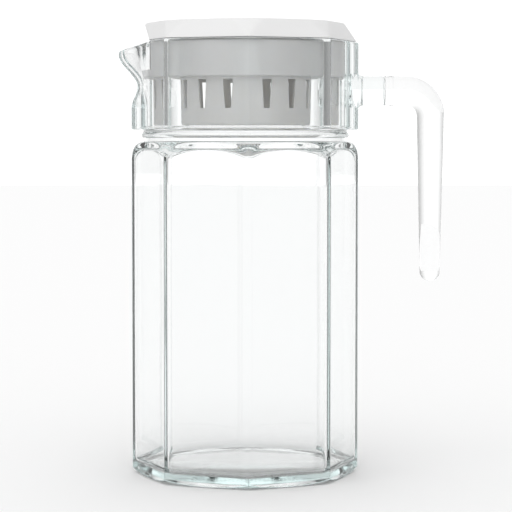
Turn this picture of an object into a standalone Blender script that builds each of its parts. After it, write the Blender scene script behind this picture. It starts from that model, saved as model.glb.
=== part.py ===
"""Lidded glass water jug: a pressed eight-sided vessel, a glass rod handle and a white plastic lid.

Metres, +Z up. The jug stands on z = 0, its handle points to +X and its spout to -X. The origin is
the middle of the whole object's footprint, so the jug's own axis stands at JUG_AXIS_X.
The lid is three mouldings: a cap, a plug that fits the collar's bore, and a strainer cup.
"""

import math

import bmesh
import bpy
from mathutils import Vector

# Fits
FIT_GAP = 0.0003  # between pieces that touch
PLUG_CLEARANCE = 0.0006  # radial, so that the lid lifts out of the collar

# Octagon, with a corner on +X, -X, +Y and -Y
SIDES = 8
BODY_RADIUS = 0.058  # axis to a corner
BODY_CORNER_FILLET = 0.0012
HALF_PITCH = math.pi / SIDES
BODY_APOTHEM = (
    BODY_RADIUS - BODY_CORNER_FILLET * (1 - 1 / math.cos(HALF_PITCH))
) * math.cos(HALF_PITCH)
CORNER_OFFSETS = tuple(math.radians(a) for a in (0, 2.5, 9.5, 22.5, 35.5, 42.5))

# Glass thicknesses
BODY_WALL = 0.0031
BORE_WALL = 0.0032  # collar, at the middle of a facet
NECK_WALL = 0.0033
BASE_THICKNESS = 0.0048
INNER_CORNER_FILLET = 0.004
FLOOR_FILLET = 0.004

# Foot
FOOT_INSET = 0.0065  # resting ring's outer edge, in from a corner
FOOT_RISE = 0.0026
FOOT_RING_WIDTH = 0.006
FOOT_RECESS = 0.0012
HEEL_POWER = 1.6  # above 1, the heel leaves the table flat and steepens outwards
HEEL_STEPS = 3
FLOOR_STEPS = 3

# Heights, from the foot up
WALL_HEIGHT = 0.1615
SHOULDER_RISE = 0.0085
NECK_INSET = 0.0016  # groove, in from the middle of a facet
GROOVE_HEIGHT = 0.0018
BEAD_HEIGHT = 0.0030
BEAD_RISE = 0.0009
BEAD_SLOPE = 0.3  # of the bead's height, at each side of its crown
SHOULDER_STEPS = 6
COLLAR_GAP = 0.0012  # between the bead and the collar
COLLAR_HEIGHT = 0.0446
COLLAR_ROUND = 0.0009
RIM_ROUND = 0.0010
RIM_CROWN = 0.8  # of the rim's rounding, from the outside to the top of the rim
COLLAR_STEPS = 8

# Spout, on the -X corner of the collar
SPOUT_OVERHANG = 0.0064  # tip, out from the corner
SPOUT_PINCH = 0.0031  # throat, in from the corner
SPOUT_FOOT_DROP = 0.0336  # below the rim
SPOUT_THROAT_DROP = 0.0226
SPOUT_TIP_DROP = 0.0068
SPOUT_SPREAD = math.radians(24)
SPOUT_LIP = 0.0028
SPOUT_LIP_ROUND = 0.0011
LIP_SLOPE = 0.27
LIP_START_INSET = 0.011  # where the rim starts to fall, in from a corner
CHANNEL_DROP = 0.0206
CHANNEL_SPREAD = math.radians(20)
CHANNEL_STEPS = 5
NECK_STEPS = 3

# Handle, a glass rod welded to a stub on the +X corner of the collar
ROD_RADIUS = 0.0076  # at the weld
ARM_RADIUS = 0.0070  # at the top of the hanging arm
TIP_RADIUS = 0.0052
FINGER_GAP = 0.0300
HANDLE_DROP = 0.0248  # arm's axis below the rim
HANDLE_LENGTH = 0.0978  # arm's axis to the tip
BEND_RADIUS = 0.0125
STUB_REACH = 0.0129  # weld, out from the corner
STUB_FLARE = 0.0018
STUB_FLARE_LENGTH = 0.0018
STUB_ROOT = 0.0050  # into the wall, in from the corner
ROD_SIDES = 16
BEND_STEPS = 8
ARM_STEPS = 4
TIP_STEPS = 3
TIP_FLAT = 0.5  # of a step, left flat at the very tip

# Lid
LID_WALL = 0.0020
LID_HEIGHT = 0.0091
LID_SETBACK = 0.0010  # foot of a lid facet, in from the glass facet
LID_TAPER = 0.0037
LID_CONE_STEP = 0.0014  # cone that cuts the corners, out from a facet at the top
LID_EDGE = 0.0005
LID_BEAK_INSET = 0.0095  # flat face over the spout, in from the glass corner
LID_BEAK_LEAN = 0.0027
LID_BEAK_SECTOR = math.radians(60)  # each side of the spout
LID_ROWS = 4
PLUG_WALL = 0.0018
PLUG_DEPTH = 0.0186  # below the rim
PLUG_FLOOR = 0.0018
PLUG_CHAMFER = 0.0011
POUR_WINDOW_WIDTH = 0.041
POUR_WINDOW_SILL = 0.0040  # above the plug's foot
STRAINER_LEDGE = 0.0081  # plug's floor between its skirt and the strainer
STRAINER_WALL = 0.0018
STRAINER_DEPTH = 0.0240  # below the plug
STRAINER_DRAFT = 0.0008
STRAINER_FLANGE = 0.0022
STRAINER_BAND = 0.0085  # solid foot below the slots
STRAINER_SLOTS = 16
SLOT_TOP_WIDTH = 0.0048
SLOT_FOOT_WIDTH = 0.0022
SLOT_HEAD = 0.0012  # solid ring above the slots
SLOT_OVERCUT = 0.0018  # cutters pass the wall by this much
ROUND_SIDES = 48
SHARP_ANGLE = math.radians(30)

# Lines that the values above fix
NECK_RADIUS = BODY_APOTHEM - NECK_INSET
SHOULDER_Z = WALL_HEIGHT + SHOULDER_RISE
BEAD_Z = SHOULDER_Z + GROOVE_HEIGHT
COLLAR_Z = BEAD_Z + BEAD_HEIGHT + COLLAR_GAP
RIM_Z = COLLAR_Z + COLLAR_HEIGHT
BORE_RADIUS = BODY_APOTHEM - BORE_WALL
SPOUT_REACH = BODY_RADIUS + SPOUT_OVERHANG
ARM_X = BODY_RADIUS + FINGER_GAP + ARM_RADIUS
HANDLE_REACH = ARM_X + ARM_RADIUS
HANDLE_Z = RIM_Z - HANDLE_DROP
WELD_X = BODY_RADIUS + STUB_REACH
LID_Z = RIM_Z + FIT_GAP
LID_TOP_Z = LID_Z + LID_HEIGHT
LID_CEILING_Z = LID_TOP_Z - LID_WALL
LID_FOOT_APOTHEM = BODY_APOTHEM - LID_SETBACK
LID_TOP_APOTHEM = LID_FOOT_APOTHEM - LID_TAPER
LID_FOOT_CONE = LID_FOOT_APOTHEM / math.cos(HALF_PITCH)
LID_TOP_CONE = LID_TOP_APOTHEM + LID_CONE_STEP
BEAK_FOOT_X = BODY_RADIUS - LID_BEAK_INSET
PLUG_RADIUS = BORE_RADIUS - PLUG_CLEARANCE
PLUG_Z = RIM_Z - PLUG_DEPTH
PLUG_NECK_RADIUS = LID_TOP_APOTHEM - LID_WALL - FIT_GAP
STRAINER_RADIUS = PLUG_RADIUS - PLUG_WALL - STRAINER_LEDGE
STRAINER_Z = PLUG_Z - STRAINER_DEPTH
JUG_AXIS_X = (SPOUT_REACH - HANDLE_REACH) / 2


def clear_scene():
    for old in list(bpy.data.objects):
        bpy.data.objects.remove(old, do_unlink=True)


def finish(name, colour, roughness):
    """A Principled material."""
    material = bpy.data.materials.new(name)
    material.use_nodes = True
    shader = material.node_tree.nodes["Principled BSDF"]
    shader.inputs["Base Color"].default_value = (*colour, 1.0)
    shader.inputs["Roughness"].default_value = roughness
    shader.inputs["Metallic"].default_value = 0.0
    return material


def ease(start, end, value):
    """0 at start, 1 at end, level at both."""
    t = min(1.0, max(0.0, (value - start) / (end - start)))
    return t * t * (3 - 2 * t)


def blend(a, b, t):
    return a + (b - a) * t


# ---- Rings and skins -----------------------------------------------------------------------


def corner_angles():
    """Angles around the octagon, closer together at its corners."""
    pitch = 2 * HALF_PITCH
    return [side * pitch + offset for side in range(SIDES) for offset in CORNER_OFFSETS]


def round_angles():
    return [2 * math.pi * i / ROUND_SIDES for i in range(ROUND_SIDES)]


def octagon_radius(angle, apothem, fillet):
    """Axis to a filleted octagon. A fillet equal to the apothem makes it a circle."""
    off_corner = angle % (2 * HALF_PITCH)
    off_corner = min(off_corner, 2 * HALF_PITCH - off_corner)
    off_facet = HALF_PITCH - off_corner
    straight = math.atan((apothem - fillet) * math.tan(HALF_PITCH) / apothem)
    if off_facet <= straight:
        return apothem / math.cos(off_facet)
    centre = (apothem - fillet) / math.cos(HALF_PITCH)
    return centre * math.cos(off_corner) + math.sqrt(fillet**2 - (centre * math.sin(off_corner)) ** 2)


def from_spout(angle):
    """Angle away from the spout's corner, which is at 180 degrees."""
    return abs((angle % (2 * math.pi)) - math.pi)


def bell(offset, spread):
    return math.cos(math.pi / 2 * offset / spread) ** 2 if offset < spread else 0.0


def ring(angles, radius_at, height_at):
    return [
        Vector((radius_at(a) * math.cos(a), radius_at(a) * math.sin(a), height_at(a))) for a in angles
    ]


def level(height):
    return lambda angle: height


def turned_ring(angles, radius, height):
    return ring(angles, lambda angle: radius, level(height))


def skin(name, rings, material, hoop=False):
    """One closed body through the rings. A hoop joins its last ring to its first, otherwise both
    ends close on a middle point."""
    mesh = bpy.data.meshes.new(name)
    bm = bmesh.new()
    loops = [[bm.verts.new(point) for point in points] for points in rings]
    count = len(loops[0])
    pairs = list(zip(loops, loops[1:]))
    if hoop:
        pairs.append((loops[-1], loops[0]))
    for lower, upper in pairs:
        for i in range(count):
            j = (i + 1) % count
            bm.faces.new((lower[i], lower[j], upper[j], upper[i]))
    if not hoop:
        for loop in (loops[0], loops[-1]):
            middle = bm.verts.new(sum((v.co for v in loop), Vector()) / count)
            for i in range(count):
                bm.faces.new((loop[i], loop[(i + 1) % count], middle))
    bmesh.ops.recalc_face_normals(bm, faces=bm.faces)
    bm.to_mesh(mesh)
    bm.free()
    mesh.shade_smooth()
    mesh.set_sharp_from_angle(angle=SHARP_ANGLE)
    mesh.materials.append(material)
    body = bpy.data.objects.new(name, mesh)
    bpy.context.scene.collection.objects.link(body)
    return body


def axis_empty(name, height, parent=None):
    """An empty on the jug's own axis."""
    empty = bpy.data.objects.new(name, None)
    bpy.context.scene.collection.objects.link(empty)
    empty.empty_display_size = BODY_RADIUS
    if parent:
        empty.parent = parent
        empty.location = (0, 0, height)
    else:
        empty.location = (JUG_AXIS_X, 0, height)
    return empty


def hang(body, parent):
    """Parents a body to an empty on the axis, and keeps the heights of its mesh."""
    body.parent = parent
    lift = parent.location.z
    for vertex in body.data.vertices:
        vertex.co.z -= lift
    return body


def cut_with(body, cutter, operation):
    """Adds or removes a guide body, which is itself left out of the model."""
    cutter.hide_render = True
    cutter.display_type = "WIRE"
    boolean = body.modifiers.new(operation.lower(), "BOOLEAN")
    boolean.operation = operation
    boolean.solver = "EXACT"
    boolean.object = cutter


# ---- Glass vessel --------------------------------------------------------------------------


def rim_height(angle):
    """The rim is level, and falls towards the spout's tip."""
    offset = from_spout(angle)
    reach = octagon_radius(angle, BODY_APOTHEM, BODY_CORNER_FILLET)
    reach += SPOUT_OVERHANG * bell(offset, SPOUT_SPREAD)
    fall = reach * math.cos(offset) - (BODY_RADIUS - LIP_START_INSET)
    return RIM_Z - LIP_SLOPE * max(0.0, fall)


def rim_round(angle):
    return RIM_ROUND + SPOUT_LIP_ROUND * bell(from_spout(angle), SPOUT_SPREAD)


def collar_radius(angle, height):
    """Outside of the collar: an octagon, pinched at the spout's throat and drawn out at its tip."""
    foot = RIM_Z - SPOUT_FOOT_DROP
    throat = RIM_Z - SPOUT_THROAT_DROP
    tip = RIM_Z - SPOUT_TIP_DROP
    push = -SPOUT_PINCH * ease(foot, throat, height)
    push += (SPOUT_PINCH + SPOUT_OVERHANG) * ease(throat, tip, height)
    base = octagon_radius(angle, BODY_APOTHEM, BODY_CORNER_FILLET)
    return base + push * bell(from_spout(angle), SPOUT_SPREAD)


def bore_radius(angle, height):
    """Inside of the collar: round, with the pouring channel let into it."""
    depth = SPOUT_REACH - SPOUT_LIP - BORE_RADIUS
    top = RIM_Z - SPOUT_TIP_DROP + SPOUT_LIP_ROUND
    push = depth * ease(RIM_Z - CHANNEL_DROP, top, height)
    return BORE_RADIUS + push * bell(from_spout(angle), CHANNEL_SPREAD)


def foot_rings(angles):
    """Recess, flat resting ring and heel."""
    outer = BODY_RADIUS - FOOT_INSET
    inner = outer - FOOT_RING_WIDTH
    rings = [turned_ring(angles, inner - FOOT_RECESS, FOOT_RECESS)]
    rings.append(turned_ring(angles, inner, 0))
    for i in range(HEEL_STEPS + 1):
        share = i / HEEL_STEPS
        limit = outer + FOOT_INSET * share
        height = FOOT_RISE * share**HEEL_POWER
        rings.append(limited_ring(angles, limit, height))
    return rings


def limited_ring(angles, limit, height):
    """The octagon, cut back to a circle."""
    return ring(
        angles,
        lambda a: min(limit, octagon_radius(a, BODY_APOTHEM, BODY_CORNER_FILLET)),
        level(height),
    )


def shoulder_rings(angles):
    """The wall rolls in to the neck, which carries a bead."""
    rings = []
    for i in range(SHOULDER_STEPS + 1):
        turn = math.pi / 2 * i / SHOULDER_STEPS
        limit = blend(NECK_RADIUS, BODY_RADIUS, math.cos(turn))
        rings.append(limited_ring(angles, limit, WALL_HEIGHT + SHOULDER_RISE * math.sin(turn)))
    for share, rise in ((0, 0), (BEAD_SLOPE, 1), (1 - BEAD_SLOPE, 1), (1, 0)):
        rings.append(turned_ring(angles, NECK_RADIUS + BEAD_RISE * rise, BEAD_Z + BEAD_HEIGHT * share))
    return rings


def collar_rings(angles):
    """Outside of the collar, from its foot to the rim."""
    rings = [turned_ring(angles, NECK_RADIUS, COLLAR_Z)]
    rings.append(limited_ring(angles, BODY_RADIUS - COLLAR_ROUND, COLLAR_Z))
    rings.append(limited_ring(angles, BODY_RADIUS, COLLAR_Z + COLLAR_ROUND))
    foot = RIM_Z - SPOUT_FOOT_DROP
    for i in range(COLLAR_STEPS + 1):
        rings.append(rim_following_ring(angles, collar_radius, foot, i / COLLAR_STEPS, rim_round))
    rings.append(
        ring(angles, lambda a: collar_radius(a, rim_height(a)) - RIM_CROWN * rim_round(a), rim_height)
    )
    return rings


def rim_following_ring(angles, radius_of, foot, share, drop_of):
    """A ring part of the way from a level foot to just below the rim."""

    def height(angle):
        return blend(foot, rim_height(angle) - drop_of(angle), share)

    return ring(angles, lambda a: radius_of(a, height(a)), height)


def inner_rings(angles):
    """Inside of the vessel, from the rim down to the floor."""
    edge = RIM_ROUND / 2
    rings = [ring(angles, lambda a: bore_radius(a, rim_height(a)) + edge, rim_height)]
    foot = RIM_Z - CHANNEL_DROP
    for i in range(CHANNEL_STEPS, -1, -1):
        rings.append(rim_following_ring(angles, bore_radius, foot, i / CHANNEL_STEPS, lambda a: edge))
    neck = NECK_RADIUS - NECK_WALL
    rings.append(turned_ring(angles, BORE_RADIUS, COLLAR_Z + COLLAR_ROUND))
    rings.append(turned_ring(angles, neck, COLLAR_Z - COLLAR_GAP))
    rings.append(turned_ring(angles, neck, SHOULDER_Z))
    inner = BODY_APOTHEM - BODY_WALL
    for i in range(1, NECK_STEPS + 1):
        share = ease(0, 1, i / NECK_STEPS)
        apothem = blend(neck, inner, share)
        fillet = blend(neck, INNER_CORNER_FILLET, share)
        height = blend(SHOULDER_Z, WALL_HEIGHT - BODY_WALL, i / NECK_STEPS)
        rings.append(octagon_ring(angles, apothem, fillet, height))
    for i in range(FLOOR_STEPS + 1):
        turn = math.pi / 2 * i / FLOOR_STEPS
        inset = FLOOR_FILLET * (1 - math.cos(turn))
        height = BASE_THICKNESS + FLOOR_FILLET * (1 - math.sin(turn))
        rings.append(octagon_ring(angles, inner - inset, INNER_CORNER_FILLET, height))
    return rings


def octagon_ring(angles, apothem, fillet, height):
    return ring(angles, lambda a: octagon_radius(a, apothem, min(fillet, apothem)), level(height))


def make_vessel(axis, glass):
    """Foot, wall, neck, collar and spout in one pressed piece, with the stub for the handle."""
    angles = corner_angles()
    rings = foot_rings(angles) + shoulder_rings(angles) + collar_rings(angles) + inner_rings(angles)
    vessel = hang(skin("jug_body", rings, glass), axis)
    stub = hang(skin("stub_guide", stub_rings(), glass), axis)
    cut_with(vessel, stub, "UNION")


def cross_ring(centre, direction, radius):
    """A circle across a path that lies in the XZ plane."""
    across = Vector((0, 1, 0))
    up = across.cross(direction)
    turns = [2 * math.pi * i / ROD_SIDES for i in range(ROD_SIDES)]
    return [centre + radius * (math.cos(t) * up + math.sin(t) * across) for t in turns]


def stub_rings():
    """Short stub, flared where it grows out of the collar's corner."""
    root = BODY_RADIUS - STUB_ROOT
    stations = (
        (root, ROD_RADIUS + STUB_FLARE),
        (BODY_RADIUS - STUB_FLARE / 2, ROD_RADIUS + STUB_FLARE),
        (BODY_RADIUS + STUB_FLARE_LENGTH, ROD_RADIUS),
        (WELD_X, ROD_RADIUS),
    )
    return [cross_ring(Vector((x, 0, HANDLE_Z)), Vector((1, 0, 0)), radius) for x, radius in stations]


# ---- Glass handle --------------------------------------------------------------------------


def make_handle(axis, glass):
    """The rod runs out from the weld, bends down and tapers to a rounded tip."""
    bend_x = ARM_X - BEND_RADIUS
    bend_z = HANDLE_Z - BEND_RADIUS
    rings = [cross_ring(Vector((WELD_X + FIT_GAP, 0, HANDLE_Z)), Vector((1, 0, 0)), ROD_RADIUS)]
    for i in range(BEND_STEPS + 1):
        turn = math.pi / 2 * i / BEND_STEPS
        centre = Vector((bend_x + BEND_RADIUS * math.sin(turn), 0, bend_z + BEND_RADIUS * math.cos(turn)))
        direction = Vector((math.cos(turn), 0, -math.sin(turn)))
        rings.append(cross_ring(centre, direction, blend(ROD_RADIUS, ARM_RADIUS, i / BEND_STEPS)))
    tip_z = HANDLE_Z - HANDLE_LENGTH
    shoulder = tip_z + TIP_RADIUS
    down = Vector((0, 0, -1))
    for i in range(1, ARM_STEPS + 1):
        share = i / ARM_STEPS
        centre = Vector((ARM_X, 0, blend(bend_z, shoulder, share)))
        rings.append(cross_ring(centre, down, blend(ARM_RADIUS, TIP_RADIUS, share)))
    for i in range(1, TIP_STEPS + 1):
        turn = math.pi / 2 * i / (TIP_STEPS + TIP_FLAT)
        centre = Vector((ARM_X, 0, shoulder - TIP_RADIUS * math.sin(turn)))
        rings.append(cross_ring(centre, down, TIP_RADIUS * math.cos(turn)))
    hang(skin("handle", rings, glass), axis)


# ---- Plastic lid ---------------------------------------------------------------------------


def cap_radius(angle, height, inset):
    """Tapered octagon, its corners cut by a cone and its spout side by a leaning flat."""
    share = (height - LID_Z) / LID_HEIGHT
    apothem = blend(LID_FOOT_APOTHEM, LID_TOP_APOTHEM, share) - inset
    cone = blend(LID_FOOT_CONE, LID_TOP_CONE, share) - inset
    radius = min(octagon_radius(angle, apothem, 0.0), cone)
    offset = from_spout(angle)
    if offset < LID_BEAK_SECTOR:
        flat = BEAK_FOOT_X + LID_BEAK_LEAN * share - inset
        radius = min(radius, flat / math.cos(offset))
    return radius


def make_cap(lift, plastic):
    """Hollow cap, open underneath, that rests on the rim."""
    angles = corner_angles()
    rings = []
    for i in range(LID_ROWS, -1, -1):
        height = blend(LID_Z, LID_CEILING_Z, i / LID_ROWS)
        rings.append(ring(angles, lambda a, z=height: cap_radius(a, z, LID_WALL), level(height)))
    for i in range(LID_ROWS + 1):
        height = blend(LID_Z, LID_TOP_Z - LID_EDGE, i / LID_ROWS)
        rings.append(ring(angles, lambda a, z=height: cap_radius(a, z, 0.0), level(height)))
    rings.append(ring(angles, lambda a: cap_radius(a, LID_TOP_Z, LID_EDGE), level(LID_TOP_Z)))
    hang(skin("lid_cap", rings, plastic), lift)


def make_plug(lift, plastic):
    """Round skirt that fits the bore, with a floor for the strainer and a window to the spout."""
    angles = round_angles()
    top = LID_CEILING_Z - FIT_GAP
    step = RIM_Z - PLUG_CHAMFER
    profile = (
        (STRAINER_RADIUS + FIT_GAP, PLUG_Z),
        (PLUG_RADIUS - PLUG_CHAMFER, PLUG_Z),
        (PLUG_RADIUS, PLUG_Z + PLUG_CHAMFER),
        (PLUG_RADIUS, step),
        (PLUG_NECK_RADIUS, RIM_Z),
        (PLUG_NECK_RADIUS, top),
        (PLUG_NECK_RADIUS - PLUG_WALL, top),
        (PLUG_NECK_RADIUS - PLUG_WALL, RIM_Z - PLUG_WALL),
        (PLUG_RADIUS - PLUG_WALL, step - PLUG_WALL),
        (PLUG_RADIUS - PLUG_WALL, PLUG_Z + PLUG_FLOOR),
        (STRAINER_RADIUS + FIT_GAP, PLUG_Z + PLUG_FLOOR),
    )
    rings = [turned_ring(angles, radius, height) for radius, height in profile]
    plug = hang(skin("lid_plug", rings, plastic, hoop=True), lift)
    cut_with(plug, pour_window(lift, plastic), "DIFFERENCE")


def pour_window(lift, plastic):
    """Guide block for the opening towards the spout."""
    half = POUR_WINDOW_WIDTH / 2
    near = -STRAINER_RADIUS * math.cos(math.asin(min(1.0, half / STRAINER_RADIUS)))
    far = -BODY_RADIUS
    heights = (PLUG_Z + POUR_WINDOW_SILL, LID_TOP_Z)
    corners = ((near, -half), (near, half), (far, half), (far, -half))
    rings = [[Vector((x, y, z)) for x, y in corners] for z in heights]
    return hang(skin("pour_window_guide", rings, plastic), lift)


def make_strainer(lift, plastic):
    """Slotted cup that hangs by its flange from the plug's floor."""
    angles = round_angles()
    flange_z = PLUG_Z + PLUG_FLOOR + FIT_GAP
    foot = STRAINER_RADIUS - STRAINER_DRAFT
    profile = (
        (foot - STRAINER_WALL, STRAINER_Z),
        (foot, STRAINER_Z + STRAINER_WALL / 2),
        (STRAINER_RADIUS, PLUG_Z),
        (STRAINER_RADIUS, flange_z),
        (STRAINER_RADIUS + STRAINER_FLANGE, flange_z),
        (STRAINER_RADIUS + STRAINER_FLANGE, flange_z + STRAINER_WALL),
        (STRAINER_RADIUS - STRAINER_WALL, flange_z + STRAINER_WALL),
        (STRAINER_RADIUS - STRAINER_WALL, PLUG_Z),
        (foot - STRAINER_WALL, STRAINER_Z + STRAINER_WALL),
    )
    rings = [turned_ring(angles, radius, height) for radius, height in profile]
    strainer = hang(skin("strainer", rings, plastic), lift)
    cut_with(strainer, slot_guides(lift, plastic), "DIFFERENCE")


def slot_guides(lift, plastic):
    """Ring of wedges, wider at the top, that cut the strainer's slots."""
    low = STRAINER_Z + STRAINER_BAND
    high = PLUG_Z - SLOT_HEAD
    near = STRAINER_RADIUS - STRAINER_DRAFT - STRAINER_WALL - SLOT_OVERCUT
    far = STRAINER_RADIUS + SLOT_OVERCUT
    mesh = bpy.data.meshes.new("slot_guides")
    bm = bmesh.new()
    for i in range(STRAINER_SLOTS):
        turn = 2 * math.pi * (i + 0.5) / STRAINER_SLOTS
        out = Vector((math.cos(turn), math.sin(turn), 0))
        side = Vector((-math.sin(turn), math.cos(turn), 0))
        corners = []
        for height, width in ((low, SLOT_FOOT_WIDTH), (high, SLOT_TOP_WIDTH)):
            for reach, way in ((near, -1), (far, -1), (far, 1), (near, 1)):
                point = out * reach + side * (way * width / 2) + Vector((0, 0, height))
                corners.append(bm.verts.new(point))
        bm.faces.new(corners[:4])
        bm.faces.new(corners[4:])
        for j in range(4):
            k = (j + 1) % 4
            bm.faces.new((corners[j], corners[k], corners[k + 4], corners[j + 4]))
    bmesh.ops.recalc_face_normals(bm, faces=bm.faces)
    bm.to_mesh(mesh)
    bm.free()
    mesh.materials.append(plastic)
    guides = bpy.data.objects.new("slot_guides", mesh)
    bpy.context.scene.collection.objects.link(guides)
    return hang(guides, lift)


def build():
    clear_scene()
    body_glass = finish("body_glass", (0.90, 0.94, 0.92), 0.02)
    handle_glass = finish("handle_glass", (0.90, 0.93, 0.91), 0.02)
    cap_white = finish("cap_white", (0.80, 0.81, 0.80), 0.35)
    plug_white = finish("plug_white", (0.78, 0.79, 0.78), 0.38)
    strainer_white = finish("strainer_white", (0.78, 0.78, 0.76), 0.38)
    axis = axis_empty("jug_axis", 0)
    lift = axis_empty("lid_lift_axis", RIM_Z, axis)
    make_vessel(axis, body_glass)
    make_handle(axis, handle_glass)
    make_cap(lift, cap_white)
    make_plug(lift, plug_white)
    make_strainer(lift, strainer_white)
    bpy.context.view_layer.update()


build()
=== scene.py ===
import math

import bmesh
import bpy
import numpy as np
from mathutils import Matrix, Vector


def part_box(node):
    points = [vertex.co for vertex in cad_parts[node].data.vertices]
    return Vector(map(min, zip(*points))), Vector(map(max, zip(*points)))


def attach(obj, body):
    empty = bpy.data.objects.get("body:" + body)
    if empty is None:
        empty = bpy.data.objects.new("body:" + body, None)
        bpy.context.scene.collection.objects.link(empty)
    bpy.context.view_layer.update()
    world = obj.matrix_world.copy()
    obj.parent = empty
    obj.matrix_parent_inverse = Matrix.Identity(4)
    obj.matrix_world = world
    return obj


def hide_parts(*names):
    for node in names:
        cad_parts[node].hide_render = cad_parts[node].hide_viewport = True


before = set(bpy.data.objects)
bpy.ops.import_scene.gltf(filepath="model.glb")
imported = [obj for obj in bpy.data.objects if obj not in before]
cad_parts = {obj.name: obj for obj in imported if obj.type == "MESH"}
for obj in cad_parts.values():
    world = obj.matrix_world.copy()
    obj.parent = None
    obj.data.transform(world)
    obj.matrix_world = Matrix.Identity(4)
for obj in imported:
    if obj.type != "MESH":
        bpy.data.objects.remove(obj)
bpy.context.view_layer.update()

scene = bpy.context.scene

# ---- Camera --------------------------------------------------------------------------------
# A long lens, level with the neck of the jug and about a metre away. The jug's own axis runs
# through the lid's plug, with the handle to +X and the spout to -X.

EYE_DISTANCE = 1.027
EYE_HEIGHT = 0.1728
EYE_TURN = math.radians(-1.5)  # round the jug, from straight in front
EYE_YAW = math.radians(0.31)
EYE_PITCH = math.radians(-3.43)

plug_low, plug_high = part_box("lid_plug")
AXIS = Vector(((plug_low.x + plug_high.x) / 2, 0, 0))

lens = bpy.data.cameras.new("camera")
lens.lens = 140.9
lens.sensor_width = 36
lens.clip_start = 0.01
lens.clip_end = 40
camera = bpy.data.objects.new("camera", lens)
scene.collection.objects.link(camera)
camera.location = AXIS + Vector(
    (EYE_DISTANCE * math.sin(EYE_TURN), -EYE_DISTANCE * math.cos(EYE_TURN), EYE_HEIGHT)
)
camera.rotation_euler = (math.pi / 2 + EYE_PITCH, 0, EYE_TURN - EYE_YAW)
scene.camera = camera
scene.view_settings.view_transform = "Standard"
scene.cycles.max_bounces = 24
scene.cycles.transmission_bounces = 24
scene.cycles.glossy_bounces = 12
scene.cycles.diffuse_bounces = 6

# ---- Floor ---------------------------------------------------------------------------------
# A plain sheet of matt white paper, wide enough to meet the backdrop at the horizon. Nothing is
# fixed to it.

FLOOR_REACH = 6.0
FLOOR_DROP = 0.0002  # below the foot
PAPER_WHITE = 0.92

floor_mesh = bpy.data.meshes.new("floor")
floor_corners = [(-1, -1), (1, -1), (1, 1), (-1, 1)]
floor_mesh.from_pydata(
    [(x * FLOOR_REACH, y * FLOOR_REACH, -FLOOR_DROP) for x, y in floor_corners],
    [],
    [(0, 1, 2, 3)],
)
floor = bpy.data.objects.new("floor", floor_mesh)
scene.collection.objects.link(floor)
paper = bpy.data.materials.new("white_paper")
paper.use_nodes = True
paper_shader = paper.node_tree.nodes["Principled BSDF"]
paper_shader.inputs["Base Color"].default_value = (*[PAPER_WHITE] * 3, 1)
paper_shader.inputs["Roughness"].default_value = 0.9
paper_shader.inputs["Specular IOR Level"].default_value = 0.0
floor_mesh.materials.append(paper)

# ---- Studio --------------------------------------------------------------------------------
# One soft light all round for everything in it: white walls before and behind, plainer sides,
# a broad light overhead and another from the front left.

SIDE_WALLS = 0.22
END_WALLS = 0.95  # what the walls before and behind add
OVERHEAD = Vector((0, 0, 1))
OVERHEAD_STRENGTH = 1.0
KEY = Vector((-0.55, -0.75, 0.36)).normalized()
KEY_STRENGTH = 0.45


def studio():
    """A world whose brightness changes smoothly with direction and is the same for every ray."""
    world = bpy.data.worlds.new("studio")
    scene.world = world
    world.use_nodes = True
    nodes, links = world.node_tree.nodes, world.node_tree.links
    place = nodes.new("ShaderNodeTexCoord")
    split = nodes.new("ShaderNodeSeparateXYZ")
    links.new(place.outputs["Generated"], split.inputs[0])

    def calculate(kind, *values):
        node = nodes.new("ShaderNodeMath")
        node.operation = kind
        for socket, value in zip(node.inputs, values):
            if isinstance(value, (int, float)):
                socket.default_value = value
            else:
                links.new(value, socket)
        return node.outputs[0]

    def broad_light(direction, strength):
        """A light that fades out smoothly a quarter turn from its middle."""
        node = nodes.new("ShaderNodeVectorMath")
        node.operation = "DOT_PRODUCT"
        links.new(place.outputs["Generated"], node.inputs[0])
        node.inputs[1].default_value = direction
        facing = calculate("MAXIMUM", node.outputs["Value"], 0)
        return calculate("MULTIPLY", calculate("MULTIPLY", facing, facing), strength)

    along = split.outputs["Y"]
    walls = calculate("MULTIPLY_ADD", calculate("MULTIPLY", along, along), END_WALLS, SIDE_WALLS)
    lamps = calculate("ADD", broad_light(OVERHEAD, OVERHEAD_STRENGTH), broad_light(KEY, KEY_STRENGTH))
    background = nodes["Background"]
    background.inputs["Color"].default_value = (1, 1, 1, 1)
    links.new(calculate("ADD", walls, lamps), background.inputs["Strength"])


studio()

# ---- Glass vessel --------------------------------------------------------------------------
# One pressing of soda-lime glass: a recessed foot, eight flat sides, a beaded neck and an eight-sided
# collar with a spout. The plunger leaves the inside rounder than the mould leaves the outside.

MM = 0.001
SIDES = 8
HALF_PITCH = math.pi / SIDES
CORNER_FILLET = 1.2 * MM
WALL = 3.1 * MM
BORE_WALL = 3.2 * MM
NECK_WALL = 3.3 * MM
INNER_FILLET = 4.0 * MM
INNER_BOW = 0.04  # how far the inside bows from flat sides towards a circle
BASE = 4.8 * MM
FLOOR_FILLET = 4 * MM
FLOOR_CROWN = 0.8 * MM
FOOT_INSET = 6.5 * MM
FOOT_RISE = 2.6 * MM
FOOT_RING = 6 * MM
FOOT_RECESS = 1.2 * MM
FOOT_BLEND = 1.5 * MM
COLLAR_HEIGHT = 44.6 * MM
COLLAR_GAP = 1.2 * MM
BEAD_HEIGHT = 3.0 * MM
BEAD_RISE = 0.9 * MM
GROOVE_HEIGHT = 1.8 * MM
SHOULDER_RISE = 8.5 * MM
NECK_INSET = 1.6 * MM
COLLAR_ROUND = 0.9 * MM
SPOUT_PINCH = 3.1 * MM
SPOUT_SPREAD = math.radians(24)
SPOUT_LIP = 2.8 * MM
LIP_SLOPE = 0.27
CHANNEL_SPREAD = math.radians(20)
RIM_ROUND = 1.0 * MM
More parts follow.
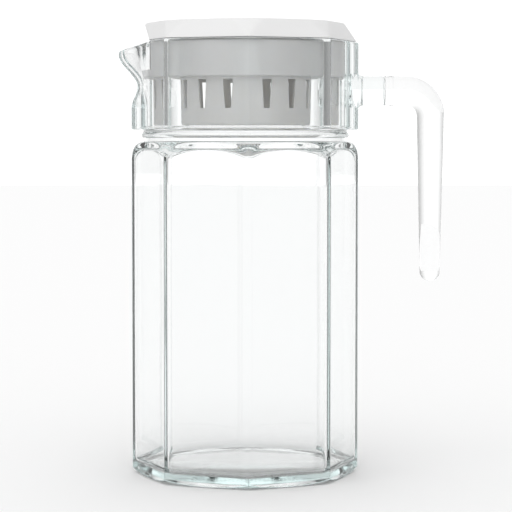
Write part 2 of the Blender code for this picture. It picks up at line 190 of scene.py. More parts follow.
SPOUT_LIP_ROUND = 1.1 * MM
RIPPLE = 0.012 * MM  # height of the slow waves that hot glass keeps
HEEL_ROUND = 0.12 * MM  # where the heel meets the flat sides
SHOULDER_ROUND = 0.18 * MM
INNER_SHOULDER_ROUND = 0.3 * MM
OVERSHOOT = 0.6 * MM  # past the widest outline, so that the flats take over smoothly
CORNER_CROWDING = 1.9
HEEL_CURVE = 1.6
ANGLES_PER_SIDE = 32

vessel_low, vessel_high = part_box("jug_body")
CORNER = (vessel_high.y - vessel_low.y) / 2
APOTHEM = (CORNER - CORNER_FILLET * (1 - 1 / math.cos(HALF_PITCH))) * math.cos(HALF_PITCH)
RIM_Z = vessel_high.z
COLLAR_Z = RIM_Z - COLLAR_HEIGHT
BEAD_TOP = COLLAR_Z - COLLAR_GAP
BEAD_Z = BEAD_TOP - BEAD_HEIGHT
SHOULDER_Z = BEAD_Z - GROOVE_HEIGHT
WALL_TOP = SHOULDER_Z - SHOULDER_RISE
NECK = APOTHEM - NECK_INSET
THROAT = NECK - NECK_WALL
BORE = APOTHEM - BORE_WALL
SPOUT_REACH = AXIS.x - vessel_low.x
SPOUT_OVERHANG = SPOUT_REACH - CORNER
SPOUT_FOOT = RIM_Z - 33.6 * MM
SPOUT_THROAT = RIM_Z - 22.6 * MM
SPOUT_TIP = RIM_Z - 6.8 * MM
CHANNEL_FOOT = RIM_Z - 20.6 * MM
LIP_START = CORNER - 11 * MM


def ease(start, end, value):
    t = np.clip((value - start) / (end - start), 0, 1)
    return t * t * (3 - 2 * t)


def soft_min(a, b, softness):
    """The smaller of two radii, with the crease between them rounded off."""
    low = np.minimum(a, b)
    return low - softness * np.log(np.exp(-(a - low) / softness) + np.exp(-(b - low) / softness))


def octagon(angle, apothem, fillet):
    """Axis to an octagon with filleted corners, one of them on +X."""
    off_corner = np.abs((angle + HALF_PITCH) % (2 * HALF_PITCH) - HALF_PITCH)
    off_facet = HALF_PITCH - off_corner
    straight = np.arctan((apothem - fillet) * math.tan(HALF_PITCH) / apothem)
    centre = (apothem - fillet) / math.cos(HALF_PITCH)
    bend = np.sqrt(np.maximum(fillet**2 - (centre * np.sin(off_corner)) ** 2, 0))
    return np.where(
        off_facet <= straight, apothem / np.cos(off_facet), centre * np.cos(off_corner) + bend
    )


def bell(offset, spread):
    return np.where(offset < spread, np.cos(np.pi / 2 * np.minimum(offset / spread, 1)) ** 2, 0)


def steps(count, first=False):
    """Shares from 0 to 1; the first one is often the last ring of the stretch before."""
    return np.linspace(0, 1, count + 1)[0 if first else 1:]


def crowded_angles():
    """Angles round the octagon, crowded where its corners bend."""
    share = np.arange(ANGLES_PER_SIDE) / ANGLES_PER_SIDE * 2 - 1
    offsets = HALF_PITCH * np.sign(share) * np.abs(share) ** CORNER_CROWDING
    corners = 2 * HALF_PITCH * np.arange(SIDES)
    return (corners[:, None] + offsets[None, :]).ravel()


angles = crowded_angles()
from_spout = np.abs(angles % (2 * np.pi) - np.pi)
outline = octagon(angles, APOTHEM, CORNER_FILLET)


def ripple(height, depth, phase):
    """Slow unevenness of glass that was pressed hot."""
    waves = np.sin(3 * angles + 21 * height + phase)
    waves = waves + 0.7 * np.sin(7 * angles - 55 * height + 2 * phase)
    return depth * (waves + 0.5 * np.sin(13 * angles + 90 * height + 3 * phase)) / 2.2


def inside(apothem, fillet):
    """The plunger's outline: an octagon whose sides bow a little towards a circle."""
    sharp = octagon(angles, apothem, fillet)
    circle = (apothem + sharp.max()) / 2
    return sharp + INNER_BOW * (circle - sharp)


def rim_height():
    reach = (outline + SPOUT_OVERHANG * bell(from_spout, SPOUT_SPREAD)) * np.cos(from_spout)
    fall = np.log1p(np.exp((reach - LIP_START) / MM)) * MM
    return RIM_Z - LIP_SLOPE * fall


def collar_outside(height):
    push = -SPOUT_PINCH * ease(SPOUT_FOOT, SPOUT_THROAT, height)
    push = push + (SPOUT_PINCH + SPOUT_OVERHANG) * ease(SPOUT_THROAT, SPOUT_TIP, height)
    return outline + push * bell(from_spout, SPOUT_SPREAD)


def collar_inside(height):
    depth = SPOUT_REACH - SPOUT_LIP - BORE
    push = depth * ease(CHANNEL_FOOT, SPOUT_TIP + SPOUT_LIP_ROUND, height)
    return BORE + push * bell(from_spout, CHANNEL_SPREAD)


def foot_rings():
    """From the middle of the recess out over the resting ring to the heel."""
    outer = CORNER - FOOT_INSET
    inner = outer - FOOT_RING
    for t in (0.05, 0.3, 0.6, 0.85, 0.95):
        yield (inner - FOOT_BLEND) * t, FOOT_RECESS
    for t in steps(6, first=True):
        yield inner - FOOT_BLEND * (1 - t), FOOT_RECESS * (1 - ease(0, 1, t))
    for t in steps(14, first=True):
        limit = outer + (FOOT_INSET + OVERSHOOT) * t
        yield soft_min(limit, outline, HEEL_ROUND), FOOT_RISE * t**HEEL_CURVE


def outer_rings():
    """Wall, shoulder, groove, bead and the underside of the collar."""
    for t in steps(30):
        height = FOOT_RISE + (WALL_TOP - FOOT_RISE) * t
        yield outline - RIPPLE + ripple(height, RIPPLE, 0.4), height
    for t in steps(18):
        turn = t * math.pi / 2
        limit = NECK + (CORNER - NECK) * math.cos(turn)
        yield soft_min(limit, outline, SHOULDER_ROUND), WALL_TOP + SHOULDER_RISE * math.sin(turn)
    for t in steps(4):
        yield NECK, SHOULDER_Z + (BEAD_Z - SHOULDER_Z) * t
    for t in steps(10):
        yield NECK + BEAD_RISE * math.sin(math.pi * t) ** 0.7, BEAD_Z + BEAD_HEIGHT * t
    for t in steps(3, first=True):
        yield NECK + 0.3 * MM * t, COLLAR_Z - 0.3 * MM * (1 - t)
    yield outline - 2 * COLLAR_ROUND, COLLAR_Z
    for t in steps(6, first=True):
        turn = t * math.pi / 2
        inset = COLLAR_ROUND * (1 - math.sin(turn))
        yield outline - inset, COLLAR_Z + COLLAR_ROUND * (1 - math.cos(turn))


def collar_rings():
    """Up the outside of the collar, over the rim and down the bore."""
    low = COLLAR_Z + COLLAR_ROUND
    thickness = RIM_ROUND + SPOUT_LIP_ROUND * bell(from_spout, SPOUT_SPREAD)
    top = rim_height() - thickness
    for t in steps(46):
        height = low + (top - low) * t
        yield collar_outside(height), height
    middle = (collar_outside(top) + collar_inside(top)) / 2
    half = (collar_outside(top) - collar_inside(top)) / 2
    for t in steps(14):
        turn = t * math.pi
        across = math.copysign(abs(math.cos(turn)) ** 0.55, math.cos(turn))
        yield middle + half * across, top + thickness * math.sin(turn) ** 0.55
    for t in steps(40):
        height = top + (low - top) * t
        yield collar_inside(height), height


def inner_rings():
    """Throat, shoulder, wall and floor of the inside, at an even thickness from the outside."""
    low = COLLAR_Z + COLLAR_ROUND
    for t in steps(6):
        yield BORE + (THROAT - BORE) * ease(0, 1, t), low + (BEAD_TOP - low) * t
    roll_z = SHOULDER_Z - NECK_WALL
    for t in steps(4):
        yield THROAT, BEAD_TOP + (roll_z - BEAD_TOP) * t
    inner = APOTHEM - WALL
    wide = inside(inner, INNER_FILLET)
    for t in steps(18):
        turn = (1 - t) * math.pi / 2
        limit = THROAT + (wide.max() + OVERSHOOT - THROAT) * math.cos(turn)
        yield soft_min(limit, wide, INNER_SHOULDER_ROUND), roll_z - SHOULDER_RISE * (1 - math.sin(turn))
    top = roll_z - SHOULDER_RISE
    foot = BASE + FLOOR_FILLET
    for t in steps(30):
        height = top + (foot - top) * t
        yield wide + ripple(height, 2 * RIPPLE, 1.7) * math.sin(math.pi * t), height
    for t in steps(12):
        turn = t * math.pi / 2
        inset = FLOOR_FILLET * (1 - math.cos(turn))
        yield inside(inner - inset, INNER_FILLET), foot - FLOOR_FILLET * math.sin(turn)
    for t in steps(8):
        share = 1 - 0.97 * t
        yield inside(inner - FLOOR_FILLET, INNER_FILLET) * share, BASE + FLOOR_CROWN * (1 - share**2)


def solid(name, points, faces):
    """A closed body with its faces turned outwards and shaded smooth."""
    mesh = bpy.data.meshes.new(name)
    mesh.from_pydata([tuple(p) for p in points], [], faces)
    bm = bmesh.new()
    bm.from_mesh(mesh)
    bmesh.ops.recalc_face_normals(bm, faces=bm.faces)
    bm.to_mesh(mesh)
    bm.free()
    mesh.shade_smooth()
    body = bpy.data.objects.new(name, mesh)
    scene.collection.objects.link(body)
    return body


def turned(name, ring_list, turns, hoop=False):
    """A body through rings of radius and height round the jug's axis. A hoop's last ring joins
    its first, otherwise both ends close on a middle point."""
    rings = [
        (np.broadcast_to(radius, turns.shape), np.broadcast_to(height, turns.shape))
        for radius, height in ring_list
    ]
    points = [np.stack([r * np.cos(turns), r * np.sin(turns), z], 1) for r, z in rings]
    count, total = len(turns), len(rings)
    faces = []
    for i in range(total if hoop else total - 1):
        a, b = i * count, (i + 1) % total * count
        for j in range(count):
            k = (j + 1) % count
            faces.append((a + j, a + k, b + k, b + j))
    if not hoop:
        last = (total - 1) * count
        middles = np.array([points[0].mean(0), points[-1].mean(0)])
        points.append(middles)
        for j in range(count):
            k = (j + 1) % count
            faces.append((j, total * count, k))
            faces.append((last + j, last + k, total * count + 1))
    return solid(name, np.concatenate(points) + np.array(AXIS), faces)


def rod(name, stations, sides=64):
    """A rod along a path in the XZ plane: (middle, direction, radius) at each station."""
    turns = np.arange(sides) * 2 * np.pi / sides
    across = Vector((0, 1, 0))
    points = []
    for middle, direction, radius in stations:
        up = across.cross(Vector(direction))
        for t in turns:
            points.append(Vector(middle) + (up * math.cos(t) + across * math.sin(t)) * float(radius))
    faces = []
    for i in range(len(stations) - 1):
        a, b = i * sides, (i + 1) * sides
        for j in range(sides):
            k = (j + 1) % sides
            faces.append((a + j, a + k, b + k, b + j))
    last = (len(stations) - 1) * sides
    points += [Vector(stations[0][0]), Vector(stations[-1][0])]
    for j in range(sides):
        k = (j + 1) % sides
        faces.append((j, len(points) - 2, k))
        faces.append((last + j, last + k, len(points) - 1))
    return solid(name, points, faces)


CRISP_PAST = math.radians(40)


def plain_mesh(body):
    """Applies a body's modifiers, and keeps its edges crisp past an angle."""
    bpy.context.view_layer.update()
    graph = bpy.context.evaluated_depsgraph_get()
    result = bpy.data.meshes.new_from_object(body.evaluated_get(graph))
    body.modifiers.clear()
    body.data = result
    result.set_sharp_from_angle(angle=CRISP_PAST)


def carve(body, tool, operation):
    """Joins a tool body to a body, or cuts it out."""
    boolean = body.modifiers.new(operation.lower(), "BOOLEAN")
    boolean.operation = operation
    boolean.solver = "EXACT"
    boolean.object = tool
    plain_mesh(body)
    bpy.data.objects.remove(tool)


vessel_profile = [*foot_rings(), *outer_rings(), *collar_rings(), *inner_rings()]
vessel = turned("glass_vessel", vessel_profile, angles)

# The stub for the handle is drawn out of the collar's corner, with a fillet at its root.
handle_low, handle_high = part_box("handle")
HANDLE_Z = RIM_Z - 24.8 * MM
ROD_RADIUS = 7.6 * MM
WELD_X = handle_low.x - 0.3 * MM
FLARE = 1.8 * MM
WELD_ROUND = 0.5 * MM


def stub_stations():
    corner = AXIS.x + CORNER
    wide = ROD_RADIUS + FLARE
    spots = [(corner - 5 * MM, wide), (corner - 1.4 * MM, wide)]
    for t in steps(8):
        turn = t * math.pi / 2
        reach = corner + (3.4 * math.sin(turn) - 1.4) * MM
        spots.append((reach, ROD_RADIUS + FLARE * (1 - math.sin(turn)) ** 1.3))
    start = corner + 2 * MM
    for t in steps(6):
        spots.append((start + (WELD_X - WELD_ROUND - start) * t, ROD_RADIUS))
    for t in steps(4):
        turn = t * math.pi / 2
        reach = WELD_X - WELD_ROUND * (1 - math.sin(turn))
        spots.append((reach, ROD_RADIUS - WELD_ROUND * (1 - math.cos(turn))))
    return [((x, 0, HANDLE_Z), (1, 0, 0), radius) for x, radius in spots]


carve(vessel, rod("stub", stub_stations()), "UNION")


GROUND_HEIGHT = 2.4 * MM
GROUND_ROUGHNESS = 0.07
WAVE_DEPTH = 0.05 * MM


def glass(name, tint, density, wave_depth, ground_height=0):
    """Clear glass: a faint tint in its thickness, a slow unevenness in its skin, and below the
    ground height a matt grain."""
    material = bpy.data.materials.new(name)
    material.use_nodes = True
    nodes, links = material.node_tree.nodes, material.node_tree.links
    shader = nodes["Principled BSDF"]
    shader.inputs["Base Color"].default_value = (1, 1, 1, 1)
    shader.inputs["Roughness"].default_value = 0.0
    shader.inputs["IOR"].default_value = 1.5
    shader.inputs["Transmission Weight"].default_value = 1.0
    place = nodes.new("ShaderNodeTexCoord")
    waves = nodes.new("ShaderNodeTexNoise")
    waves.inputs["Scale"].default_value = 45
    waves.inputs["Detail"].default_value = 1
    links.new(place.outputs["Object"], waves.inputs["Vector"])
    bump = nodes.new("ShaderNodeBump")
    bump.inputs["Strength"].default_value = 0.25
    bump.inputs["Distance"].default_value = wave_depth
    links.new(waves.outputs["Fac"], bump.inputs["Height"])
    links.new(bump.outputs["Normal"], shader.inputs["Normal"])
    if ground_height:
        level = nodes.new("ShaderNodeSeparateXYZ")
        links.new(place.outputs["Object"], level.inputs[0])
        matt = nodes.new("ShaderNodeMapRange")
        matt.inputs["From Min"].default_value = 0.4 * ground_height
        matt.inputs["From Max"].default_value = ground_height
        matt.inputs["To Min"].default_value = GROUND_ROUGHNESS
        matt.inputs["To Max"].default_value = 0.0
        links.new(level.outputs["Z"], matt.inputs["Value"])
        links.new(matt.outputs["Result"], shader.inputs["Roughness"])
    absorb = nodes.new("ShaderNodeVolumeAbsorption")
    absorb.inputs["Color"].default_value = (*tint, 1)
    absorb.inputs["Density"].default_value = density
    links.new(absorb.outputs["Volume"], nodes["Material Output"].inputs["Volume"])
    return material


vessel_glass = glass("pressed_glass", (0.0, 0.70, 0.66), 2.3, WAVE_DEPTH, GROUND_HEIGHT)

# Round the heel the mould leaves a ring of short ribs, which keep the foot off a wet table.
RIBS = 150
RIB_RING = CORNER - FOOT_INSET + 0.9 * MM
RIB_SIZE = Vector((1.2, 0.7, 0.42)) * MM  # half its length, width and height
RIB_Z = 0.44 * MM


def node_tree(name, inputs):
    """A geometry node group with a geometry in and out, and named sizes as inputs."""
    group = bpy.data.node_groups.new(name, "GeometryNodeTree")
    group.interface.new_socket("Geometry", in_out="INPUT", socket_type="NodeSocketGeometry")
    for label, kind in inputs:
        group.interface.new_socket(label, in_out="INPUT", socket_type=kind)
    group.interface.new_socket("Geometry", in_out="OUTPUT", socket_type="NodeSocketGeometry")
    return group, group.nodes.new("NodeGroupInput"), group.nodes.new("NodeGroupOutput")


def set_inputs(body, group, values):
    """Adds the tree to a body, with its sizes set by each socket's identifier."""
    modifier = body.modifiers.new(group.name, "NODES")
    modifier.node_group = group
    for item in group.interface.items_tree:
        if item.in_out == "INPUT" and item.name in values:
            modifier[item.identifier] = values[item.name]


def round_the_axis(group, start, count, reach):
    """Points on a ring, half a pitch on from +X, and the turn that faces each one outwards."""
    nodes, links = group.nodes, group.links
    circle = nodes.new("GeometryNodeMeshCircle")
    links.new(start.outputs[count], circle.inputs["Vertices"])
    links.new(start.outputs[reach], circle.inputs["Radius"])
    pitch = nodes.new("ShaderNodeMath")
    pitch.operation = "DIVIDE"
    pitch.inputs[0].default_value = 2 * math.pi
    links.new(start.outputs[count], pitch.inputs[1])
    half = nodes.new("ShaderNodeMath")
    half.operation = "MULTIPLY"
    half.inputs[1].default_value = 0.5
    links.new(pitch.outputs[0], half.inputs[0])
    half_turn = nodes.new("ShaderNodeCombineXYZ")
    links.new(half.outputs[0], half_turn.inputs["Z"])
    spin = nodes.new("GeometryNodeTransform")
    links.new(circle.outputs["Mesh"], spin.inputs["Geometry"])
    links.new(half_turn.outputs[0], spin.inputs["Rotation"])
    index = nodes.new("GeometryNodeInputIndex")
    turn = nodes.new("ShaderNodeMath")
    turn.operation = "MULTIPLY_ADD"
    links.new(index.outputs[0], turn.inputs[0])
    links.new(pitch.outputs[0], turn.inputs[1])
    links.new(half.outputs[0], turn.inputs[2])
    facing = nodes.new("ShaderNodeCombineXYZ")
    links.new(turn.outputs[0], facing.inputs["Z"])
    return spin.outputs["Geometry"], facing.outputs[0]


def end_tree(group, geometry, end, material):
    """Realize Instances and Set Material, then out."""
    real = group.nodes.new("GeometryNodeRealizeInstances")
    group.links.new(geometry, real.inputs["Geometry"])
    paint = group.nodes.new("GeometryNodeSetMaterial")
    paint.inputs["Material"].default_value = material
    group.links.new(real.outputs["Geometry"], paint.inputs["Geometry"])
    group.links.new(paint.outputs["Geometry"], end.inputs[0])


def rib_ring():
    group, start, end = node_tree(
        "foot_ribs",
        [("Ribs", "NodeSocketInt"), ("Ring Radius", "NodeSocketFloat"), ("Rib Size", "NodeSocketVector"),
         ("Middle", "NodeSocketVector")],
    )
    nodes, links = group.nodes, group.links
    points, facing = round_the_axis(group, start, "Ribs", "Ring Radius")
    rib = nodes.new("GeometryNodeMeshUVSphere")
    rib.inputs["Segments"].default_value = 8
    rib.inputs["Rings"].default_value = 6
    rib.inputs["Radius"].default_value = 1.0
    place = nodes.new("GeometryNodeInstanceOnPoints")
    links.new(points, place.inputs["Points"])
    links.new(rib.outputs["Mesh"], place.inputs["Instance"])
    links.new(facing, place.inputs["Rotation"])
    links.new(start.outputs["Rib Size"], place.inputs["Scale"])
    smooth = nodes.new("GeometryNodeSetShadeSmooth")
    links.new(place.outputs["Instances"], smooth.inputs["Geometry"])
    shift = nodes.new("GeometryNodeTransform")
    links.new(smooth.outputs["Geometry"], shift.inputs["Geometry"])
    links.new(start.outputs["Middle"], shift.inputs["Translation"])
    end_tree(group, shift.outputs["Geometry"], end, vessel_glass)
    ring = bpy.data.objects.new("foot_ribs", bpy.data.meshes.new("foot_ribs"))
    scene.collection.objects.link(ring)
    set_inputs(ring, group, {
        "Ribs": RIBS, "Ring Radius": RIB_RING, "Rib Size": RIB_SIZE, "Middle": AXIS + Vector((0, 0, RIB_Z)),
    })
    plain_mesh(ring)
    return ring


carve(vessel, rib_ring(), "UNION")
vessel.data.materials.clear()
vessel.data.materials.append(vessel_glass)
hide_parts("jug_body")
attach(vessel, "jug")

# ---- Glass handle --------------------------------------------------------------------------
# A drawn glass rod, bent while hot and tapered to a rounded tip, then welded to the stub. The
# weld leaves a fine swelling round the rod.

ARM_RADIUS = 7.0 * MM
TIP_RADIUS = 5.2 * MM
BEND = 12.5 * MM
WELD_BEAD = 0.22 * MM
WELD_LENGTH = 3.4 * MM
ARM_X = handle_high.x - ARM_RADIUS
TIP_Z = handle_low.z


def handle_stations():
    out = []
    right, down = (1, 0, 0), (0, 0, -1)
    start = handle_low.x
    for t in steps(4, first=True):
        turn = t * math.pi / 2
        middle = (start + WELD_ROUND * (1 - math.cos(turn)), 0, HANDLE_Z)
        out.append((middle, right, ROD_RADIUS - WELD_ROUND * (1 - math.sin(turn))))
    start += WELD_ROUND
    for t in steps(10):
        middle = (start + WELD_LENGTH * t, 0, HANDLE_Z)
        out.append((middle, right, ROD_RADIUS + WELD_BEAD * math.sin(3 * math.pi * t) * t))
    start += WELD_LENGTH
    for t in steps(4):
        out.append(((start + (ARM_X - BEND - start) * t, 0, HANDLE_Z), right, ROD_RADIUS))
    for t in steps(36):
        turn = t * math.pi / 2
        middle = (ARM_X - BEND + BEND * math.sin(turn), 0, HANDLE_Z - BEND + BEND * math.cos(turn))
        direction = (math.cos(turn), 0, -math.sin(turn))
        out.append((middle, direction, ROD_RADIUS + (ARM_RADIUS - ROD_RADIUS) * t))
    top, foot = HANDLE_Z - BEND, TIP_Z + TIP_RADIUS
    for t in steps(30):
        radius = ARM_RADIUS + (TIP_RADIUS - ARM_RADIUS) * t
        out.append(((ARM_X, 0, top + (foot - top) * t), down, radius))
    for t in steps(14):
        turn = t * math.pi / 2 * 0.97
        out.append(((ARM_X, 0, foot - TIP_RADIUS * math.sin(turn)), down, TIP_RADIUS * math.cos(turn)))
    return out


handle = rod("glass_handle", handle_stations())
handle.data.set_sharp_from_angle(angle=CRISP_PAST)
handle.data.materials.append(glass("rod_glass", (0.2, 0.7, 0.65), 0.6, 0.0001))
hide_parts("handle")
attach(handle, "jug")

# ---- Lid cap -------------------------------------------------------------------------------
# Injection-moulded white plastic, hollow underneath. Eight tapered facets, their corners cut by
# a cone, and a flat that leans out over the spout.

LID_WALL = 2.0 * MM
CAP_SETBACK = 1.0 * MM
CAP_TAPER = 3.7 * MM
CONE_STEP = 1.4 * MM
BEAK_INSET = 9.5 * MM
BEAK_LEAN = 2.7 * MM
BEAK_SECTOR = math.pi / 3
CAP_EDGE = 0.6 * MM
CAP_CREASE = 0.12 * MM

cap_low, cap_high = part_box("lid_cap")
CAP_HEIGHT = cap_high.z - cap_low.z
CAP_FOOT = APOTHEM - CAP_SETBACK
CAP_TOP = CAP_FOOT - CAP_TAPER
cap_turns = np.linspace(0, 2 * np.pi, SIDES * 48, endpoint=False)


def cap_radius(share, inset):
    """Outline of the cap at a share of its height."""
    facet = octagon(cap_turns, CAP_FOOT - CAP_TAPER * share - inset, 0.3 * MM)
    cone_foot = CAP_FOOT / math.cos(HALF_PITCH)
    cone = cone_foot + (CAP_TOP + CONE_STEP - cone_foot) * share - inset
    radius = soft_min(facet, cone, CAP_CREASE)
    off_spout = np.abs(cap_turns % (2 * np.pi) - np.pi)
    beak = (CORNER - BEAK_INSET + BEAK_LEAN * share - inset) / np.maximum(np.cos(off_spout), 0.4)
    return np.where(off_spout < BEAK_SECTOR, soft_min(radius, beak, CAP_CREASE), radius)


def cap_rings():
    ceiling_share = 1 - LID_WALL / CAP_HEIGHT
    edge_share = CAP_EDGE / CAP_HEIGHT
    for t in (0.03, 0.35, 0.7, 0.95):
        yield cap_radius(ceiling_share, LID_WALL) * t, cap_high.z - LID_WALL
    for t in steps(10, first=True):
        share = (1 - t) * ceiling_share
        yield cap_radius(share, LID_WALL), cap_low.z + CAP_HEIGHT * share
    for t in steps(30, first=True):
        share = t * (1 - edge_share)
        yield cap_radius(share, 0), cap_low.z + CAP_HEIGHT * share
    for t in steps(6):
        turn = t * math.pi / 2
        inset = CAP_EDGE * (1 - math.cos(turn))
        share = 1 - edge_share * (1 - math.sin(turn))
        yield cap_radius(share, inset), cap_low.z + CAP_HEIGHT * share
    for t in (0.9, 0.6, 0.3, 0.03):
        yield cap_radius(1, CAP_EDGE) * t, cap_high.z


cap = turned("cap_shell", [*cap_rings()], cap_turns)
cap.data.set_sharp_from_angle(angle=CRISP_PAST)


def moulded_plastic(name, colour, roughness, glow):
    """White plastic with the fine grain of its mould, slightly uneven gloss, and some light
    carried inside it."""
    material = bpy.data.materials.new(name)
    material.use_nodes = True
    nodes, links = material.node_tree.nodes, material.node_tree.links
    shader = nodes["Principled BSDF"]
    shader.inputs["IOR"].default_value = 1.49
    shader.inputs["Subsurface Weight"].default_value = glow
    shader.inputs["Subsurface Radius"].default_value = (1.0, 0.95, 0.85)
    shader.inputs["Subsurface Scale"].default_value = 0.004
    place = nodes.new("ShaderNodeTexCoord")
    grain = nodes.new("ShaderNodeTexNoise")
    grain.inputs["Scale"].default_value = 2200
    grain.inputs["Detail"].default_value = 3
    links.new(place.outputs["Object"], grain.inputs["Vector"])
    bump = nodes.new("ShaderNodeBump")
    bump.inputs["Strength"].default_value = 0.12
    bump.inputs["Distance"].default_value = 0.00006
    links.new(grain.outputs["Fac"], bump.inputs["Height"])
    links.new(bump.outputs["Normal"], shader.inputs["Normal"])
    cloud = nodes.new("ShaderNodeTexNoise")
    cloud.inputs["Scale"].default_value = 45
    cloud.inputs["Detail"].default_value = 4
    links.new(place.outputs["Object"], cloud.inputs["Vector"])
    gloss = nodes.new("ShaderNodeMapRange")
    gloss.inputs["To Min"].default_value = roughness - 0.05
    gloss.inputs["To Max"].default_value = roughness + 0.06
    links.new(cloud.outputs["Fac"], gloss.inputs["Value"])
    links.new(gloss.outputs["Result"], shader.inputs["Roughness"])
    shade = nodes.new("ShaderNodeMix")
    shade.data_type = "RGBA"
    shade.inputs["A"].default_value = (*[c * 0.97 for c in colour], 1)
    shade.inputs["B"].default_value = (*colour, 1)
    links.new(cloud.outputs["Fac"], shade.inputs["Factor"])
    links.new(shade.outputs["Result"], shader.inputs["Base Color"])
    return material


cap.data.materials.append(moulded_plastic("cap_plastic", (0.78, 0.78, 0.78), 0.35, 0.0))
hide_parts("lid_cap")
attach(cap, "lid")

# ---- Lid plug ------------------------------------------------------------------------------
# A second white moulding, pressed up into the cap: a skirt that fits the collar's bore, a floor
# that carries the strainer, and a window on the spout side that the drink leaves by.

PLUG_WALL = 1.8 * MM
PLUG_FLOOR = 1.8 * MM
PLUG_ROUND = 1.1 * MM
STRAINER_LEDGE = 8.1 * MM
FIT_GAP = 0.3 * MM
WINDOW_WIDTH = 41 * MM
WINDOW_SILL = 4.0 * MM

PLUG_RADIUS = (plug_high.y - plug_low.y) / 2
PLUG_NECK = CAP_TOP - LID_WALL - FIT_GAP
CUP = PLUG_RADIUS - PLUG_WALL - STRAINER_LEDGE
plug_turns = np.linspace(0, 2 * np.pi, 144, endpoint=False)


def rounded(corners):
    """A closed outline through (radius, height, rounding) corners."""
    spots = [(Vector((r, z)), rounding) for r, z, rounding in corners]
    out = []
    for i, (corner, rounding) in enumerate(spots):
        before = spots[i - 1][0] - corner
        after = spots[(i + 1) % len(spots)][0] - corner
        reach = min(rounding, 0.45 * before.length, 0.45 * after.length)
        start, stop = corner + before.normalized() * reach, corner + after.normalized() * reach
        for t in steps(4, first=True):
            spot = start * (1 - t) ** 2 + corner * (2 * t * (1 - t)) + stop * t**2
            out.append((spot.x, spot.y))
    return out


SOFT_EDGE = 0.3 * MM
plug_profile = rounded((
    (CUP + FIT_GAP, plug_low.z, SOFT_EDGE),
    (PLUG_RADIUS, plug_low.z, PLUG_ROUND),
    (PLUG_RADIUS, RIM_Z - PLUG_ROUND, SOFT_EDGE),
    (PLUG_NECK, RIM_Z, SOFT_EDGE),
    (PLUG_NECK, plug_high.z, SOFT_EDGE),
    (PLUG_NECK - PLUG_WALL, plug_high.z, SOFT_EDGE),
    (PLUG_NECK - PLUG_WALL, RIM_Z - PLUG_WALL, SOFT_EDGE),
    (PLUG_RADIUS - PLUG_WALL, RIM_Z - PLUG_ROUND - PLUG_WALL, SOFT_EDGE),
    (PLUG_RADIUS - PLUG_WALL, plug_low.z + PLUG_FLOOR, 1.5 * SOFT_EDGE),
    (CUP + FIT_GAP, plug_low.z + PLUG_FLOOR, SOFT_EDGE),
))
plug = turned("plug_skirt", plug_profile, plug_turns, hoop=True)


def window_block():
    """The block that cuts the window towards the spout."""
    half = WINDOW_WIDTH / 2
    near = -CUP * math.cos(math.asin(half / CUP))
    low, high = plug_low.z + WINDOW_SILL, cap_high.z
    corners = ((near, -half), (near, half), (-CORNER, half), (-CORNER, -half))
    points = [AXIS + Vector((x, y, z)) for z in (low, high) for x, y in corners]
    faces = [(0, 1, 2, 3), (4, 5, 6, 7)] + [(i, (i + 1) % 4, (i + 1) % 4 + 4, i + 4) for i in range(4)]
    return solid("window_block", points, faces)


carve(plug, window_block(), "DIFFERENCE")
plug.data.materials.clear()
plug.data.materials.append(moulded_plastic("plug_plastic", (0.86, 0.86, 0.855), 0.42, 0.25))
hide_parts("lid_plug")
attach(plug, "lid")

# ---- Strainer ------------------------------------------------------------------------------
# The third moulding, a slotted cup that hangs by its flange from the plug's floor and keeps ice
# and fruit back. Its slots taper from top to foot.

STRAINER_WALL = 1.8 * MM
STRAINER_DRAFT = 0.8 * MM
STRAINER_FLANGE = 2.2 * MM
STRAINER_BAND = 8.5 * MM
SLOTS = 16
SLOT_HEAD = 1.2 * MM
SLOT_TOP_WIDTH = 5.6 * MM
SLOT_FOOT_WIDTH = 3.2 * MM
SLOT_DEPTH = 6.0 * MM

strainer_low, strainer_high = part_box("strainer")
FLANGE_Z = plug_low.z + PLUG_FLOOR + FIT_GAP
FOOT = CUP - STRAINER_DRAFT


def strainer_rings():
    """Down the inside of the cup, and back up its outside to the flange."""
    corners = (
        (CUP - STRAINER_WALL, strainer_high.z, SOFT_EDGE),
        (CUP - STRAINER_WALL, plug_low.z, SOFT_EDGE),
        (FOOT - STRAINER_WALL, strainer_low.z + STRAINER_WALL, 2 * STRAINER_WALL),
        (0.4 * FOOT, strainer_low.z + STRAINER_WALL, SOFT_EDGE),
        (0.4 * FOOT, strainer_low.z, SOFT_EDGE),
        (FOOT, strainer_low.z, STRAINER_WALL),
        (CUP, plug_low.z, SOFT_EDGE),
        (CUP, FLANGE_Z, SOFT_EDGE),
        (CUP + STRAINER_FLANGE, FLANGE_Z, SOFT_EDGE),
        (CUP + STRAINER_FLANGE, strainer_high.z, SOFT_EDGE),
    )
    outline_points = rounded(corners)
    per_corner = len(outline_points) // len(corners)
    inside_part = outline_points[: 3 * per_corner]
    outside_part = outline_points[5 * per_corner :]
    middle_top = [(FOOT * t, strainer_low.z + STRAINER_WALL) for t in (0.6, 0.3, 0.04)]
    middle_foot = [(FOOT * t, strainer_low.z) for t in (0.04, 0.3, 0.6)]
    return middle_foot + outside_part + inside_part + middle_top


strainer = turned("strainer_cup", strainer_rings(), plug_turns)
strainer_plastic = moulded_plastic("strainer_plastic", (0.87, 0.865, 0.845), 0.45, 0.6)


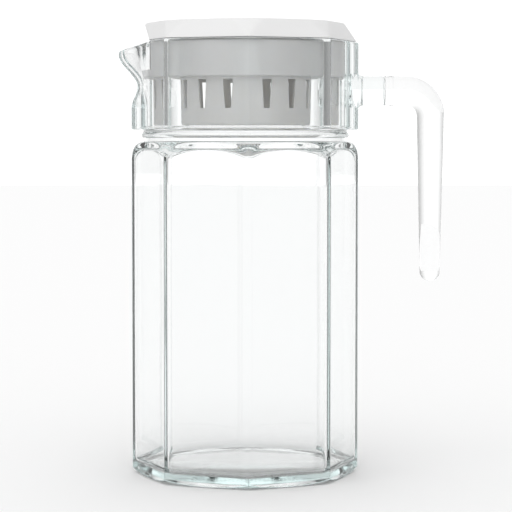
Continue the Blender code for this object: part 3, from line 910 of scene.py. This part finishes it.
def cut_slots(body):
    """Cuts a ring of wedges out of the cup."""
    group, start, end = node_tree(
        "strainer_slots",
        [("Slots", "NodeSocketInt"), ("Ring Radius", "NodeSocketFloat"), ("Depth", "NodeSocketFloat"),
         ("Top Width", "NodeSocketFloat"), ("Foot Width", "NodeSocketFloat"), ("Height", "NodeSocketFloat"),
         ("Foot Middle", "NodeSocketVector")],
    )
    nodes, links = group.nodes, group.links
    points, facing = round_the_axis(group, start, "Slots", "Ring Radius")
    wedge = nodes.new("GeometryNodeMeshCone")
    wedge.inputs["Vertices"].default_value = 4
    across_corners = []
    for label in ("Top Width", "Foot Width"):
        node = nodes.new("ShaderNodeMath")
        node.operation = "MULTIPLY"
        node.inputs[1].default_value = math.sqrt(0.5)
        links.new(start.outputs[label], node.inputs[0])
        across_corners.append(node.outputs[0])
    links.new(across_corners[0], wedge.inputs["Radius Top"])
    links.new(across_corners[1], wedge.inputs["Radius Bottom"])
    links.new(start.outputs["Height"], wedge.inputs["Depth"])
    square_up = nodes.new("GeometryNodeTransform")
    square_up.inputs["Rotation"].default_value = (0, 0, math.pi / 4)
    links.new(wedge.outputs["Mesh"], square_up.inputs["Geometry"])
    stretch = nodes.new("ShaderNodeMath")
    stretch.operation = "DIVIDE"
    links.new(start.outputs["Depth"], stretch.inputs[0])
    links.new(start.outputs["Foot Width"], stretch.inputs[1])
    scale = nodes.new("ShaderNodeCombineXYZ")
    links.new(stretch.outputs[0], scale.inputs["X"])
    scale.inputs["Y"].default_value = 1
    scale.inputs["Z"].default_value = 1
    lengthen = nodes.new("GeometryNodeTransform")
    links.new(square_up.outputs["Geometry"], lengthen.inputs["Geometry"])
    links.new(scale.outputs[0], lengthen.inputs["Scale"])
    place = nodes.new("GeometryNodeInstanceOnPoints")
    links.new(points, place.inputs["Points"])
    links.new(lengthen.outputs["Geometry"], place.inputs["Instance"])
    links.new(facing, place.inputs["Rotation"])
    shift = nodes.new("GeometryNodeTransform")
    links.new(place.outputs["Instances"], shift.inputs["Geometry"])
    links.new(start.outputs["Foot Middle"], shift.inputs["Translation"])
    wedges = nodes.new("GeometryNodeRealizeInstances")
    links.new(shift.outputs["Geometry"], wedges.inputs["Geometry"])
    cut = nodes.new("GeometryNodeMeshBoolean")
    cut.operation = "DIFFERENCE"
    cut.solver = "EXACT"
    links.new(start.outputs["Geometry"], cut.inputs["Mesh 1"])
    links.new(wedges.outputs["Geometry"], cut.inputs["Mesh 2"])
    end_tree(group, cut.outputs["Mesh"], end, strainer_plastic)
    low = strainer_low.z + STRAINER_BAND
    high = plug_low.z - SLOT_HEAD
    set_inputs(body, group, {
        "Slots": SLOTS, "Ring Radius": CUP, "Depth": SLOT_DEPTH, "Top Width": SLOT_TOP_WIDTH,
        "Foot Width": SLOT_FOOT_WIDTH, "Height": high - low, "Foot Middle": AXIS + Vector((0, 0, low)),
    })
    plain_mesh(body)


cut_slots(strainer)
strainer.data.materials.clear()
strainer.data.materials.append(strainer_plastic)
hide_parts("strainer")
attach(strainer, "lid")
